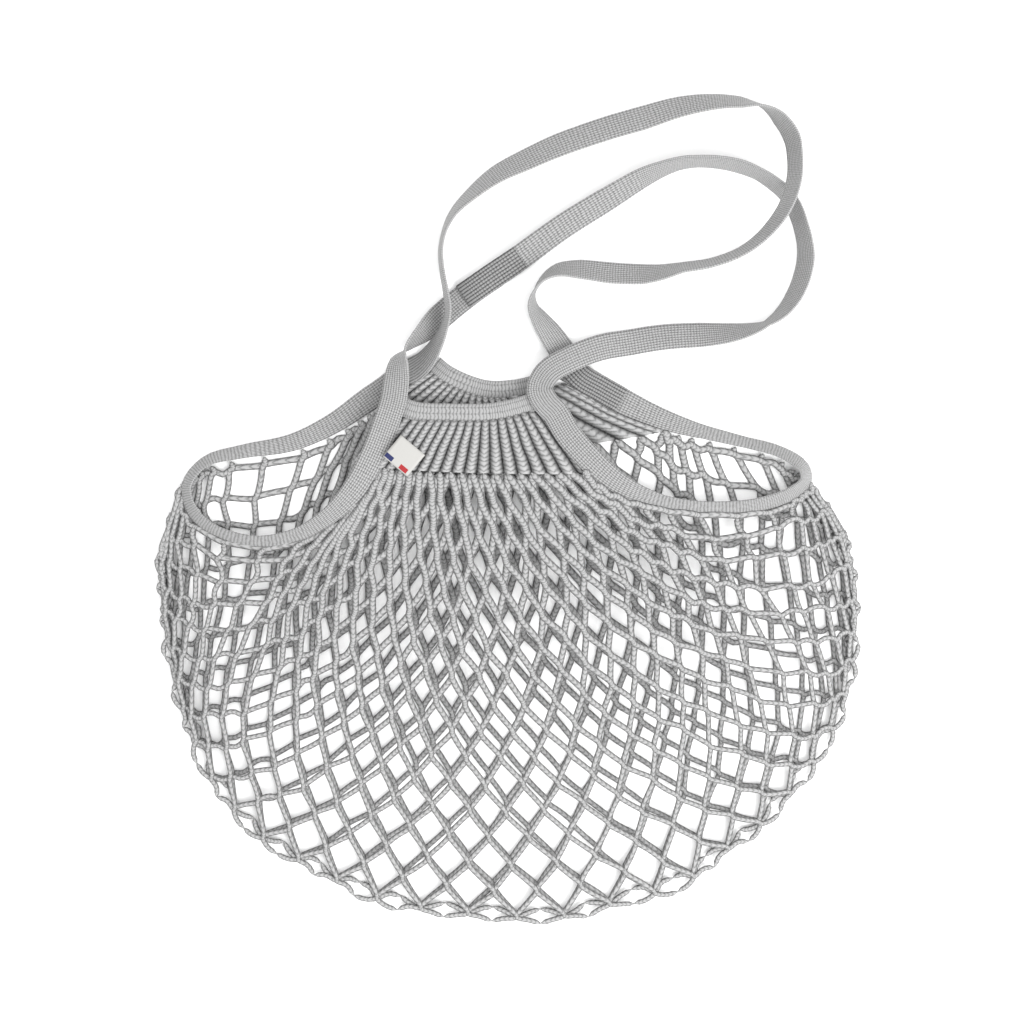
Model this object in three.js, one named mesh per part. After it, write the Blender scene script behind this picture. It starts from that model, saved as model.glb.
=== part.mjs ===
// A string shopping bag of knitted cotton, laid out flat: an open net pouch with ribbed yokes at its
// mouth, and two long woven tapes, each of which binds one side opening and then runs on as a handle.
// Millimetres. X runs across the bag, Y from the bottom fold to the handles, Z up from the table.

import * as THREE from 'three';

// Driving dimensions
const pouchWidth = 409;      // side fold to side fold, as the bag lies
const pouchLength = 260;     // shoulder line, where the side openings end, down to the bottom fold
const pouchLoft = 10;        // clear height between back and front net at the middle
const netWall = 2;           // thickness of the knitted net
const netBar = 5;            // width of the net between two gaps
const netColumns = 8;        // gaps in a row of the net
const netRows = 7;           // rows of gaps, each shifted half a gap against the last
const mouthWidth = 71;       // length of the straight middle of the mouth
const mouthShift = -25;      // middle of the mouth, right of the bag's middle
const mouthRise = 43.5;      // mouth above the shoulder line
const ringDip = 38;          // lowest point of a side opening below the shoulder line
const yokeDepth = 27;        // gathered rib between a mouth band and the net
const yokeWall = 1.6;
const ribCount = 18;         // ribs side by side in a yoke
const ribHeight = 1.2;
const bandWidth = 10.5;      // tape over the middle of the mouth
const tapeWidth = 15;        // tape of the side openings and the handles
const tapeThick = 1.6;
const handleReach = 177;     // mouth to the furthest point of the handles
const handleSpread = 235.5;  // mouth's left end to the handles' furthest right point
const labelWidth = 16;
const labelLength = 18;
const labelThick = 0.8;
const labelTurn = -20;       // degrees that the label hangs askew from the tape that holds it
const labelRise = 0.6;       // rows of that tape's table from the yoke's corner up to the label
const clearance = 0.3;       // between pieces that are sewn together
const seamGap = 0.6;         // between a tape's edge and the net sewn to it

// Places that follow from them
const shoulderY = (pouchLength - mouthRise - handleReach) / 2;
const mouthY = shoulderY + mouthRise;
const mouthLeft = mouthShift - mouthWidth / 2;
const mouthRight = mouthShift + mouthWidth / 2;
const pouchSide = pouchWidth / 2;
const rimBase = netWall + clearance;
const tapeLayer = tapeThick + clearance;
const frontBandBase = rimBase + 0.56 * pouchLoft;
const stitchShare = 0.94;    // height of the front yoke's lower corners, as a share of the loft
const yokeShare = 0.5;       // share of the net's columns that end at the yoke
const rimSteps = 4;          // steps along the net's upper and lower edge for each half gap

const mix = THREE.MathUtils.lerp;

// Rows of a side opening, from the mouth's end to the pouch's side
function openingRows(mouthEnd, side, table) {
  return table.map(([across, along, seat, rise, slant, width]) => ({
    x: mix(mouthEnd, side, across),
    y: shoulderY + along * (along > 0 ? mouthRise : ringDip),
    base: seat * rimBase + rise * pouchLoft,
    slant: THREE.MathUtils.degToRad(slant),
    width,
  }));
}

// Rows of a handle, from the mouth's left end to the handle's furthest point. A row may lie over
// another tape, flat (over) or on edge (lift), and come down from over the front band (high).
function handleRows(table) {
  return table.map(([across, along, over, lift, high, slant, width]) => ({
    x: mouthLeft + across * handleSpread,
    y: mouthY + along * handleReach,
    base: over * tapeLayer + lift * tapeWidth + high * (frontBandBase + tapeLayer),
    slant: THREE.MathUtils.degToRad(slant),
    width,
  }));
}

// A tape's run: place, slant and half width at any share of its rows
function tapeRun(rows, fullWidth = tapeWidth) {
  const curve = new THREE.CatmullRomCurve3(rows.map((r) => new THREE.Vector3(r.x, r.y, 0)));
  const last = rows.length - 1;
  const at = (t) => {
    const i = Math.min(Math.floor(t * last), last - 1);
    const read = (key) => mix(rows[i][key], rows[i + 1][key], t * last - i);
    const slant = read('slant');
    const half = (fullWidth * read('width')) / 2;
    const flat = Math.abs(Math.cos(slant));
    const steep = Math.abs(Math.sin(slant));
    const place = curve.getPoint(t);
    const ahead = curve.getTangent(t);
    const across = new THREE.Vector3(ahead.y, -ahead.x, 0).normalize();
    const base = read('base');
    place.z = base + half * steep + (tapeThick / 2) * flat;
    return { place, across, slant, half, base, reach: half * flat + (tapeThick / 2) * steep };
  };
  return { at, last };
}

// Point beside a tape, a gap away from its right edge (side 1) or its left edge (side -1)
function besideTape(run, t, side, gap) {
  const { place, across, reach, base } = run.at(t);
  place.addScaledVector(across, side * (reach + gap));
  place.z = base;
  return place;
}

const quad = (a, b, c, d) => [a, b, c, a, c, d];

function geometryOf(points, faces) {
  const geometry = new THREE.BufferGeometry();
  const numbers = points.flatMap((p) => p.toArray());
  geometry.setAttribute('position', new THREE.Float32BufferAttribute(numbers, 3));
  geometry.setIndex(faces.flat());
  geometry.computeVertexNormals();
  return geometry;
}

// Tape: a flat section swept along its run, closed at both ends
function tapeGeometry(run, stepsPerRow) {
  const steps = run.last * stepsPerRow;
  const points = [];
  const faces = [];
  for (let i = 0; i <= steps; i += 1) {
    const { place, across, slant, half } = run.at(i / steps);
    const wide = across.clone().multiplyScalar(Math.cos(slant));
    wide.z = Math.sin(slant);
    const deep = across.clone().multiplyScalar(-Math.sin(slant));
    deep.z = Math.cos(slant);
    for (const [w, d] of [[-1, -1], [1, -1], [1, 1], [-1, 1]]) {
      const corner = place.clone().addScaledVector(wide, w * half);
      points.push(corner.addScaledVector(deep, (d * tapeThick) / 2));
    }
  }
  for (let a = 0; a < steps * 4; a += 4) {
    for (let k = 0; k < 4; k += 1) {
      const n = (k + 1) % 4;
      faces.push(quad(a + k, a + 4 + k, a + 4 + n, a + n));
    }
  }
  const end = steps * 4;
  faces.push(quad(0, 1, 2, 3), quad(end + 3, end + 2, end + 1, end));
  return geometryOf(points, faces);
}

// Side openings and handles. Each tape starts at a join on the other tape, goes round one side
// opening and runs on as a handle.
const leftBindingRun = tapeRun([
  ...handleRows([
    // across, along, over, lift, high, slant, width
    [0.226, 0.412, 0, 0, 0, -180, 1],
    [0.163, 0.354, 0, 0, 0, -180, 1],
    [0.099, 0.285, 0, 0, 0, -176, 1],
    [0.052, 0.223, 0, 0, 0.05, -132, 1],
    [0.007, 0.167, 0, 0, 0.25, -95, 0.9],
    [-0.010, 0.125, 0, 0, 0.50, -45, 1],
    [-0.017, 0.056, 0, 0, 0.85, -12, 1],
  ]),
  ...openingRows(mouthLeft, -pouchSide, [
    // across, along, seat, rise, slant, width
    [0.042, 0.950, 1, 0.84, 5, 1],
    [0.078, 0.600, 1, 0.90, 12, 1],
    [0.123, 0.220, 1, stitchShare, 12, 1],
    [0.197, -0.230, 1, 0.90, 12, 0.95],
    [0.297, -0.615, 1, 0.84, 12, 0.68],
    [0.418, -0.890, 1, 0.74, 12, 0.53],
    [0.578, -1.000, 1, 0.54, 15, 0.42],
    [0.745, -0.850, 1, 0.24, 30, 0.43],
    [0.845, -0.560, 1, 0.04, 45, 0.6],
    [0.872, -0.160, 1, 0, 50, 0.56],
    [0.800, 0.180, 1, 0, 35, 0.46],
    [0.659, 0.310, 0, 0, 15, 0.52],
    [0.458, 0.430, 0, 0, 5, 0.66],
    [0.297, 0.667, 0, 0, 0, 0.78],
    [0.150, 1.000, 0, 0, 0, 0.93],
    [0.045, 1.230, 0, 0, 0, 1],
  ]),
]);
const leftRows = { yokeCorner: 9, side: 16, backYokeCorner: 21 };

const rightBindingRun = tapeRun([
  ...handleRows([
    [0.395, 0.108, 0, 0, 0, 0, 1],
    [0.473, 0.046, 0, 0, 0, 0, 1],
    [0.547, -0.010, 0, 0, 0, 0, 1],
  ]),
  ...openingRows(mouthRight, pouchSide, [
    [0.414, 0.733, 0, 0, 0, 0.78],
    [0.533, 0.573, 0, 0, 5, 0.52],
    [0.653, 0.440, 0, 0, 15, 0.42],
    [0.758, 0.307, 1, 0, 35, 0.48],
    [0.824, 0.107, 1, 0, 50, 0.7],
    [0.830, -0.090, 1, 0.02, 50, 0.72],
    [0.795, -0.260, 1, 0.12, 40, 0.66],
    [0.728, -0.400, 1, 0.30, 30, 0.6],
    [0.638, -0.477, 1, 0.52, 15, 0.48],
    [0.518, -0.477, 1, 0.72, 12, 0.44],
    [0.399, -0.385, 1, 0.84, 12, 0.48],
    [0.279, -0.138, 1, 0.90, 12, 0.8],
    [0.190, 0.200, 1, stitchShare, 12, 0.98],
    [0.124, 0.533, 1, 0.90, 12, 1],
    [0.084, 0.830, 1, 0.86, 8, 1],
  ]),
]);
const rightRows = { backYokeCorner: 3, side: 8, yokeCorner: 15 };

const backHandleRun = tapeRun(handleRows([
  [-0.005, 0.084, 0, 0, 0, 0, 1],
  [0.022, 0.100, 0, 0, 0, 12, 1],
  [0.049, 0.125, 0, 0.02, 0, 35, 1],
  [0.074, 0.170, 0, 0.08, 0, 55, 1],
  [0.096, 0.226, 1, 0.12, 0, 70, 1],
  [0.109, 0.290, 1, 0.16, 0, 78, 1],
  [0.103, 0.350, 1, 0.12, 0, 80, 1],
  [0.093, 0.426, 0, 0.04, 0, 82, 1],
  [0.090, 0.490, 0, 0, 0, 82, 1],
  [0.099, 0.550, 0, 0, 0, 80, 1],
  [0.121, 0.610, 0, 0, 0, 72, 1],
  [0.163, 0.669, 0, 0, 0, 60, 1],
  [0.224, 0.734, 0, 0, 0, 45, 1],
  [0.298, 0.785, 0, 0, 0, 33, 1],
  [0.384, 0.836, 0, 0, 0, 25, 1],
  [0.483, 0.882, 0, 0, 0, 22, 1],
  [0.581, 0.921, 0, 0, 0, 22, 1],
  [0.680, 0.959, 0, 0, 0, 35, 1],
  [0.766, 0.974, 0, 0, 0, 50, 1],
  [0.828, 0.972, 0, 0, 0, 60, 1],
  [0.882, 0.957, 0, 0, 0, 85, 1],
  [0.921, 0.918, 0, 0, 0, 110, 1],
  [0.951, 0.856, 0, 0.1, 0, 122, 0.95],
  [0.957, 0.790, 0, 0.4, 0, 125, 0.85],
  [0.955, 0.725, 1, 0.6, 0, 132, 0.75],
  [0.944, 0.664, 1, 0.64, 0, 135, 0.7],
  [0.921, 0.600, 1, 0.48, 0, 130, 0.72],
  [0.882, 0.537, 0, 0.2, 0, 120, 0.8],
  [0.829, 0.484, 0, 0, 0, 113, 0.9],
  [0.754, 0.446, 0, 0, 0, 112, 1],
  [0.680, 0.430, 0, 0, 0, 115, 1],
  [0.631, 0.416, 0, 0, 0, 128, 1],
  [0.581, 0.410, 0, 0, 0, 142, 1],
  [0.507, 0.415, 0, 0, 0, 145, 1],
  [0.433, 0.426, 0, 0, 0, 138, 1],
  [0.379, 0.423, 0, 0, 0, 122, 1],
  [0.341, 0.393, 0, 0, 0, 102, 1],
  [0.320, 0.349, 0, 0, 0, 88, 1],
  [0.318, 0.305, 0, 0, 0, 68, 1],
  [0.337, 0.259, 0, 0, 0, 45, 1],
  [0.365, 0.207, 0, 0, 0, 20, 1],
  [0.394, 0.150, 1, 0, 0, 3, 1],
  [0.433, 0.078, 1, 0, 0, 0, 1],
  [0.483, 0.038, 1, 0, 0, 0, 1],
  [0.535, -0.001, 1, 0, 0, 0, 1],
]));

const frontHandleRun = tapeRun(handleRows([
  [0.349, -0.012, 0, 0, 1.12, 5, 1],
  [0.333, 0.033, 0, 0, 1.06, 5, 1],
  [0.352, 0.087, 0, 0, 0.82, 5, 1],
  [0.404, 0.130, 1, 0, 0.50, 5, 1],
  [0.478, 0.170, 1, 0, 0.05, 0, 1],
  [0.557, 0.189, 0, 0, 0, 5, 1],
  [0.643, 0.207, 0, 0, 0, 15, 1],
  [0.729, 0.213, 0, 0, 0, 22, 1],
  [0.791, 0.218, 0, 0, 0, 40, 1],
  [0.847, 0.230, 0, 0, 0, 60, 1],
  [0.889, 0.249, 0, 0, 0, 78, 1],
  [0.926, 0.285, 0, 0, 0, 66, 1],
  [0.956, 0.338, 0, 0, 0, 58, 1],
  [0.975, 0.397, 0, 0, 0, 56, 1],
  [0.985, 0.459, 0, 0, 0, 57, 1],
  [0.983, 0.515, 0, 0, 0, 60, 0.95],
  [0.973, 0.574, 0, 0, 0, 58, 0.85],
  [0.958, 0.630, 0, 0, 0, 50, 0.75],
  [0.936, 0.675, 0, 0, 0, 48, 0.7],
  [0.906, 0.708, 0, 0, 0, 58, 0.75],
  [0.869, 0.738, 0, 0, 0, 68, 0.85],
  [0.823, 0.761, 0, 0, 0, 70, 1],
  [0.773, 0.774, 0, 0, 0, 72, 1],
  [0.722, 0.777, 0, 0, 0, 74, 1],
  [0.675, 0.770, 0, 0, 0, 70, 1],
  [0.631, 0.751, 0, 0, 0, 62, 1],
  [0.581, 0.721, 0, 0, 0, 48, 1],
  [0.483, 0.643, 0, 0, 0, 30, 1],
  [0.384, 0.561, 0, 0, 0, 25, 1],
  [0.286, 0.466, 0.5, 0, 0, 20, 1],
  [0.220, 0.407, 1, 0, 0, 5, 1],
  [0.163, 0.354, 1, 0, 0, 0, 1],
  [0.146, 0.338, 1, 0, 0, 0, 1],
]));

// Bands over the middle of the mouth, front and back, from the left tape to the right one
const frontBandRun = tapeRun([
  // across = share of mouthWidth from the mouth's left end, along = share of bandWidth over the mouth
  [-0.060, -0.20], [0.100, -0.62], [0.400, -0.72], [0.700, -0.70], [0.900, -0.45], [1.060, -0.10],
].map(([across, along]) => ({
  x: mouthLeft + across * mouthWidth,
  y: mouthY + along * bandWidth,
  base: frontBandBase,
  slant: 0,
  width: 1,
})), bandWidth);
const backBandRun = tapeRun([
  [0.250, 1.95], [0.350, 1.42], [0.560, 0.78], [0.720, 0.55], [0.940, 0.66], [1.080, 0.90],
].map(([across, along]) => ({
  x: mouthLeft + across * mouthWidth,
  y: mouthY + along * bandWidth,
  base: 0,
  slant: 0,
  width: 1,
})), bandWidth);

// Line along which a yoke's ribs end and the net begins: a curve through its two corners and a
// middle point, a yoke's depth below the band
function stitchLine(left, right, band, crown) {
  const middle = besideTape(band, 0.5, 1, clearance);
  middle.y -= yokeDepth;
  middle.z = crown;
  middle.multiplyScalar(2).addScaledVector(left, -0.5).addScaledVector(right, -0.5);
  const line = new THREE.QuadraticBezierCurve3(left, middle, right);
  return (s) => line.getPoint(s);
}

// Ribbed yoke: straight ribs that fan out from the band's edge to the stitch line
function yokeGeometry(top, bottom) {
  const across = ribCount * 4;
  const down = 3;
  const points = [];
  const faces = [];
  for (let j = 0; j <= down; j += 1) {
    for (let i = 0; i <= across; i += 1) {
      const point = top(i / across).lerp(bottom(i / across), j / down);
      point.z += (ribHeight / 2) * (1 - Math.cos((Math.PI * i) / 2));
      points.push(point, point.clone().setZ(point.z + yokeWall));
    }
  }
  const under = (i, j) => 2 * (j * (across + 1) + i);
  const over = (i, j) => under(i, j) + 1;
  for (let j = 0; j < down; j += 1) {
    for (let i = 0; i < across; i += 1) {
      faces.push(quad(over(i, j), over(i, j + 1), over(i + 1, j + 1), over(i + 1, j)));
      faces.push(quad(under(i, j), under(i + 1, j), under(i + 1, j + 1), under(i, j + 1)));
    }
    faces.push(quad(under(0, j), under(0, j + 1), over(0, j + 1), over(0, j)));
    faces.push(quad(over(across, j), over(across, j + 1), under(across, j + 1), under(across, j)));
  }
  for (let i = 0; i < across; i += 1) {
    faces.push(quad(under(i + 1, 0), under(i, 0), over(i, 0), over(i + 1, 0)));
    faces.push(quad(under(i, down), under(i + 1, down), over(i + 1, down), over(i, down)));
  }
  return geometryOf(points, faces);
}

// Outline of the pouch below the shoulder line
const outline = (table) => new THREE.CatmullRomCurve3(table.map(([across, down]) => (
  new THREE.Vector3(across * pouchWidth, shoulderY - down * pouchLength, 0))));
const leftFold = outline([
  // across = share of pouchWidth from the middle, down = share of pouchLength
  [-0.468, 0.058], [-0.486, 0.096], [-0.497, 0.156], [-0.500, 0.223], [-0.497, 0.290],
  [-0.489, 0.390], [-0.476, 0.490], [-0.453, 0.601], [-0.426, 0.690], [-0.387, 0.768], [-0.348, 0.824],
]);
const rightFold = outline([
  [0.440, 0.038], [0.460, 0.078], [0.483, 0.134], [0.494, 0.200], [0.500, 0.278],
  [0.497, 0.367], [0.490, 0.468], [0.474, 0.546], [0.450, 0.617], [0.415, 0.702], [0.347, 0.808],
]);
const bottomFold = outline([
  [-0.348, 0.824], [-0.309, 0.862], [-0.259, 0.906], [-0.209, 0.944], [-0.152, 0.971],
  [-0.096, 0.984], [-0.032, 0.993], [0.032, 1.000], [0.096, 0.991], [0.160, 0.962],
  [0.209, 0.944], [0.259, 0.915], [0.308, 0.853], [0.347, 0.808],
]);

// One side of the pouch: a sheet of net, spread between the tapes and yoke above, the two side
// folds and the bottom fold. The gaps are six-sided, each row shifted half a gap.
function netGeometry(topEdge, height) {
  const [topLeft, topRight] = [topEdge(0), topEdge(1)];
  const [lowLeft, lowRight] = [bottomFold.getPoint(0), bottomFold.getPoint(1)];
  const fold = (curve, v, corner) => {
    const miss = corner.clone().sub(curve.getPoint(0));
    return curve.getPoint(v).addScaledVector(miss, (1 - v) ** 4);
  };
  const plan = (u, v) => {
    const point = topEdge(u).multiplyScalar(1 - v).addScaledVector(bottomFold.getPoint(u), v);
    point.addScaledVector(fold(leftFold, v, topLeft), 1 - u);
    point.addScaledVector(fold(rightFold, v, topRight), u);
    point.addScaledVector(topLeft, -(1 - u) * (1 - v)).addScaledVector(topRight, -u * (1 - v));
    return point.addScaledVector(lowLeft, -(1 - u) * v).addScaledVector(lowRight, -u * v);
  };
  const halves = 2 * netColumns;
  const slope = 0.22 / netRows;
  const points = [];
  const faces = [];
  const add = (point, z) => points.push(point.clone().setZ(z), point.clone().setZ(z + netWall)) - 2;
  const grid = [];
  for (let r = 0; r <= netRows; r += 1) {
    const rim = r === 0 || r === netRows;
    const step = rim ? 1 / rimSteps : 1;
    grid.push([]);
    for (let k = 0; k <= halves; k += step) {
      const straight = rim || k === 0 || k === halves;
      const u = k / halves;
      const v = r / netRows + (straight ? 0 : slope * ((k + r) % 2 ? -1 : 1));
      const point = plan(u, v);
      grid[r].push({ k, u, v, point, index: add(point, height(u, v)) });
    }
  }
  for (let r = 0; r < netRows; r += 1) {
    const first = r % 2 ? -1 : 0;
    for (let k = first; k < halves; k += 2) {
      const from = Math.max(k, 0);
      const to = Math.min(k + 2, halves);
      const inCell = ({ k: place }) => place >= from && place <= to;
      const above = grid[r].filter(inCell);
      const below = grid[r + 1].filter(inCell).reverse();
      cutGap([...above, ...below], add, height, faces);
    }
  }
  const wall = (a, b) => faces.push(quad(a.index, b.index, b.index + 1, a.index + 1));
  for (let i = 0; i < halves * rimSteps; i += 1) {
    wall(grid[0][i + 1], grid[0][i]);
    wall(grid[netRows][i], grid[netRows][i + 1]);
  }
  for (let r = 0; r < netRows; r += 1) {
    wall(grid[r][0], grid[r + 1][0]);
    wall(grid[r + 1].at(-1), grid[r].at(-1));
  }
  return geometryOf(points, faces);
}

// Net round one gap: the gap's edge runs half a bar inside the ring of points round it
function cutGap(ring, add, height, faces) {
  const count = ring.length;
  const inward = (i) => {
    const along = ring[(i + 1) % count].point.clone().sub(ring[i].point).normalize();
    return new THREE.Vector3(along.y, -along.x, 0);
  };
  const hole = ring.map((corner, i) => {
    const before = inward((i + count - 1) % count);
    const after = inward(i);
    const stretch = netBar / 2 / Math.max(1 + before.dot(after), 0.5);
    const point = corner.point.clone().addScaledVector(before.add(after), stretch);
    return add(point, height(corner.u, corner.v));
  });
  for (let i = 0; i < count; i += 1) {
    const n = (i + 1) % count;
    const [a, b, c, d] = [ring[i].index, ring[n].index, hole[n], hole[i]];
    faces.push(quad(d + 1, c + 1, b + 1, a + 1), quad(a, b, c, d), quad(c, c + 1, d + 1, d));
  }
}

// Top edge of a net: along one tape to the yoke's corner, along the yoke, along the other tape
function netTop(leftTape, stitch, rightTape) {
  const tapeShare = (1 - yokeShare) / 2;
  return (u) => {
    if (u < tapeShare) return leftTape(u / tapeShare);
    if (u > 1 - tapeShare) return rightTape((1 - u) / tapeShare);
    return stitch((u - tapeShare) / yokeShare);
  };
}

// Edge of a net along a side opening's tape, from the pouch's side to the yoke's corner. The front
// net meets the tape's outer edge. The back net starts there too, passes under the tape where it
// turns, and then meets its inner edge.
const frontEdge = (run, rows) => (s) => (
  besideTape(run, mix(rows.side, rows.yokeCorner, s) / run.last, -1, seamGap));
const backEdge = (run, rows) => (s) => {
  const turn = 1 / Math.abs(rows.backYokeCorner - rows.side);
  const side = Math.min(mix(-1, 1, s / turn), 1);
  return besideTape(run, mix(rows.side, rows.backYokeCorner, s) / run.last, side, seamGap);
};

// One yoke and the net below it, front or back
function yokeAndNet(band, bandEnds, ribEnds, leftTape, rightTape, crown, netHeight) {
  const bandEdge = (s) => besideTape(band, mix(...bandEnds, s), 1, clearance);
  const stitch = stitchLine(leftTape(1), rightTape(1), band, crown);
  const ribEnd = (s) => stitch(mix(...ribEnds, s)).add(new THREE.Vector3(0, clearance, 0));
  const topEdge = netTop(leftTape, stitch, rightTape);
  return [yokeGeometry(bandEdge, ribEnd), netGeometry(topEdge, netHeight(topEdge))];
}

const domed = (topEdge) => (u, v) => rimBase + (topEdge(u).z - rimBase) * (1 - v ** 4);
const flat = () => () => 0;
const [yokeFront, netFront] = yokeAndNet(
  frontBandRun,
  [0.1, 0.9],
  [0.02, 0.98],
  frontEdge(leftBindingRun, leftRows),
  frontEdge(rightBindingRun, rightRows),
  rimBase + pouchLoft,
  domed,
);
const [yokeBack, netBack] = yokeAndNet(
  backBandRun,
  [0.04, 0.98],
  [0.04, 0.97],
  backEdge(leftBindingRun, leftRows),
  backEdge(rightBindingRun, rightRows),
  0,
  flat,
);

// Care label: a small woven square, held at one side by the front edge of the left tape, and askew
function labelPlace() {
  const t = (leftRows.yokeCorner - labelRise) / leftBindingRun.last;
  const { across } = leftBindingRun.at(t);
  const askew = THREE.MathUtils.degToRad(labelTurn);
  const centre = besideTape(leftBindingRun, t, -1, clearance);
  const away = across.clone().negate().applyAxisAngle(new THREE.Vector3(0, 0, 1), askew);
  centre.addScaledVector(away, labelLength / 2);
  centre.z = rimBase + pouchLoft + yokeWall + ribHeight + clearance + labelThick / 2;
  return { centre, turn: Math.atan2(away.x, -away.y) };
}

const material = (color, roughness) => new THREE.MeshStandardMaterial({ color, roughness, metalness: 0 });
const cottonTape = material(0xb9b9b9, 0.85);
const cottonNet = material(0xadadad, 0.9);
const cottonRib = material(0xa6a6a6, 0.9);
const wovenLabel = material(0xf0f0ee, 0.8);

function piece(name, geometry, finish) {
  const mesh = new THREE.Mesh(geometry, finish);
  mesh.name = name;
  return mesh;
}

const bag = new THREE.Group();
bag.add(piece('binding_left', tapeGeometry(leftBindingRun, 3), cottonTape));
bag.add(piece('binding_right', tapeGeometry(rightBindingRun, 3), cottonTape));
bag.add(piece('handle_back', tapeGeometry(backHandleRun, 2), cottonTape));
bag.add(piece('handle_front', tapeGeometry(frontHandleRun, 2), cottonTape));
bag.add(piece('mouth_band_front', tapeGeometry(frontBandRun, 3), cottonTape));
bag.add(piece('mouth_band_back', tapeGeometry(backBandRun, 3), cottonTape));
bag.add(piece('rib_yoke_front', yokeFront, cottonRib));
bag.add(piece('rib_yoke_back', yokeBack, cottonRib));
bag.add(piece('net_front', netFront, cottonNet));
bag.add(piece('net_back', netBack, cottonNet));

const label = piece('sewn_label', new THREE.BoxGeometry(labelWidth, labelLength, labelThick), wovenLabel);
const { centre, turn } = labelPlace();
label.position.copy(centre);
label.rotation.z = turn;
bag.add(label);

export default bag;
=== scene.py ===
import math

import bmesh
import bpy
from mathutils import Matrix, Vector, noise


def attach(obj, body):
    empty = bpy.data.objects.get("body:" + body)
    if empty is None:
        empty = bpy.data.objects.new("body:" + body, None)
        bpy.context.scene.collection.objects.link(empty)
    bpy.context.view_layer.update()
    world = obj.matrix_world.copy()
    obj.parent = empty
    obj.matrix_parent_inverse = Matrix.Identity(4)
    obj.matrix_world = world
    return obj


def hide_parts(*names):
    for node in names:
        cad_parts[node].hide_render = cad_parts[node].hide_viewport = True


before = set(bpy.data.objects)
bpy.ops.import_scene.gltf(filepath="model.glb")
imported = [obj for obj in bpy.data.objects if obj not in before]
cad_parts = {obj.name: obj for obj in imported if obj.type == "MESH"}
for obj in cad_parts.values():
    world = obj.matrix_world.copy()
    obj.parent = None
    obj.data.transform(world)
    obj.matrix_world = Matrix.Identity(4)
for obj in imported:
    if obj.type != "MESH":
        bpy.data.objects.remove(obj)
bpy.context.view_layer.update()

scene = bpy.context.scene
scene.view_settings.view_transform = "Standard"    # keeps the card white and the cotton a plain grey


# Long tapes. Each is one 15 mm knitted cotton tape, folded over the net's edge round one side
# opening and then running on as a handle until it is sewn to the other tape. Left loose, it twists
# on to its edge and lies on itself. All lengths are in millimetres until a mesh is placed.
MM = 0.001
UP = Vector((0, 0, 1))
POUCH_WIDTH = 409
POUCH_LENGTH = 260
POUCH_LOFT = 10
NET_WALL = 2
MOUTH_WIDTH = 71
MOUTH_SHIFT = -25
MOUTH_RISE = 43.5
RING_DIP = 38
TAPE_WIDTH = 15
TAPE_THICK = 1.6
HANDLE_REACH = 177
HANDLE_SPREAD = 235.5
CLEARANCE = 0.3
TAPE_STRIPS = 8          # faces across a tape
TAPE_SHARE = 0.8         # the tape's own part of its thickness, next to its waves and its hollow

shoulder_y = (POUCH_LENGTH - MOUTH_RISE - HANDLE_REACH) / 2
mouth_y = shoulder_y + MOUTH_RISE
mouth_left = MOUTH_SHIFT - MOUTH_WIDTH / 2
mouth_right = MOUTH_SHIFT + MOUTH_WIDTH / 2
rim_base = NET_WALL + CLEARANCE
tape_layer = TAPE_THICK + CLEARANCE
front_band_base = rim_base + 0.56 * POUCH_LOFT
stitch_share = 0.94      # how high the tape lies where a yoke ends, as a share of the pouch's loft


def mix(a, b, t):
    return a + (b - a) * t


def opening_rows(mouth_end, side, table):
    """Rows of a side opening. Slants are in degrees, widths are shares of the tape's, and all other
    columns are shares of the named sizes."""
    rows = []
    for across, along, seat, rise, slant, width in table:
        x = mix(mouth_end, side, across)
        y = shoulder_y + along * (MOUTH_RISE if along > 0 else RING_DIP)
        rows.append((x, y, seat * rim_base + rise * POUCH_LOFT, math.radians(slant), width))
    return rows


def handle_rows(table):
    """Rows of a handle, in the same way."""
    rows = []
    for across, along, over, lift, high, slant, width in table:
        x = mouth_left + across * HANDLE_SPREAD
        y = mouth_y + along * HANDLE_REACH
        base = over * tape_layer + lift * TAPE_WIDTH + high * (front_band_base + tape_layer)
        rows.append((x, y, base, math.radians(slant), width))
    return rows


def through(points, t):
    """Smooth curve through points, with t in rows."""
    i = min(int(t), len(points) - 2)
    f = t - i
    p1, p2 = points[i], points[i + 1]
    p0 = points[i - 1] if i else 2 * p1 - p2
    p3 = points[i + 2] if i + 2 < len(points) else 2 * p2 - p1
    d0, d1, d2 = (math.sqrt(max((b - a).length, 1e-6)) for a, b in ((p0, p1), (p1, p2), (p2, p3)))
    m1 = ((p1 - p0) / d0 - (p2 - p0) / (d0 + d1) + (p2 - p1) / d1) * d1
    m2 = ((p2 - p1) / d1 - (p3 - p1) / (d1 + d2) + (p3 - p2) / d2) * d1
    return p1 + m1 * f + (3 * (p2 - p1) - 2 * m1 - m2) * f * f + (2 * (p1 - p2) + m1 + m2) * f ** 3


class TapeRun:
    """A tape's way: place, slant and half width at any row."""

    def __init__(self, rows, full_width=TAPE_WIDTH):
        self.rows = rows
        self.full = full_width
        self.last = len(rows) - 1
        self.points = [Vector((r[0], r[1], 0)) for r in rows]

    def at(self, t):
        i = min(int(t), self.last - 1)
        base, slant, width = (mix(self.rows[i][k], self.rows[i + 1][k], t - i) for k in (2, 3, 4))
        half = self.full * width / 2
        place = through(self.points, t)
        step = 0.01
        ahead = through(self.points, min(t + step, self.last)) - through(self.points, max(t - step, 0))
        across = Vector((ahead.y, -ahead.x, 0)).normalized()
        flat, steep = abs(math.cos(slant)), abs(math.sin(slant))
        place.z = base + half * steep + TAPE_THICK / 2 * flat
        return place, across, slant, half, base, half * flat + TAPE_THICK / 2 * steep

    def beside(self, t, side, gap):
        """A point a gap off the tape's right edge (side 1) or left edge (side -1)."""
        place, across, slant, half, base, reach = self.at(t)
        place = place + across * side * (reach + gap)
        place.z = base
        return place


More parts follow.
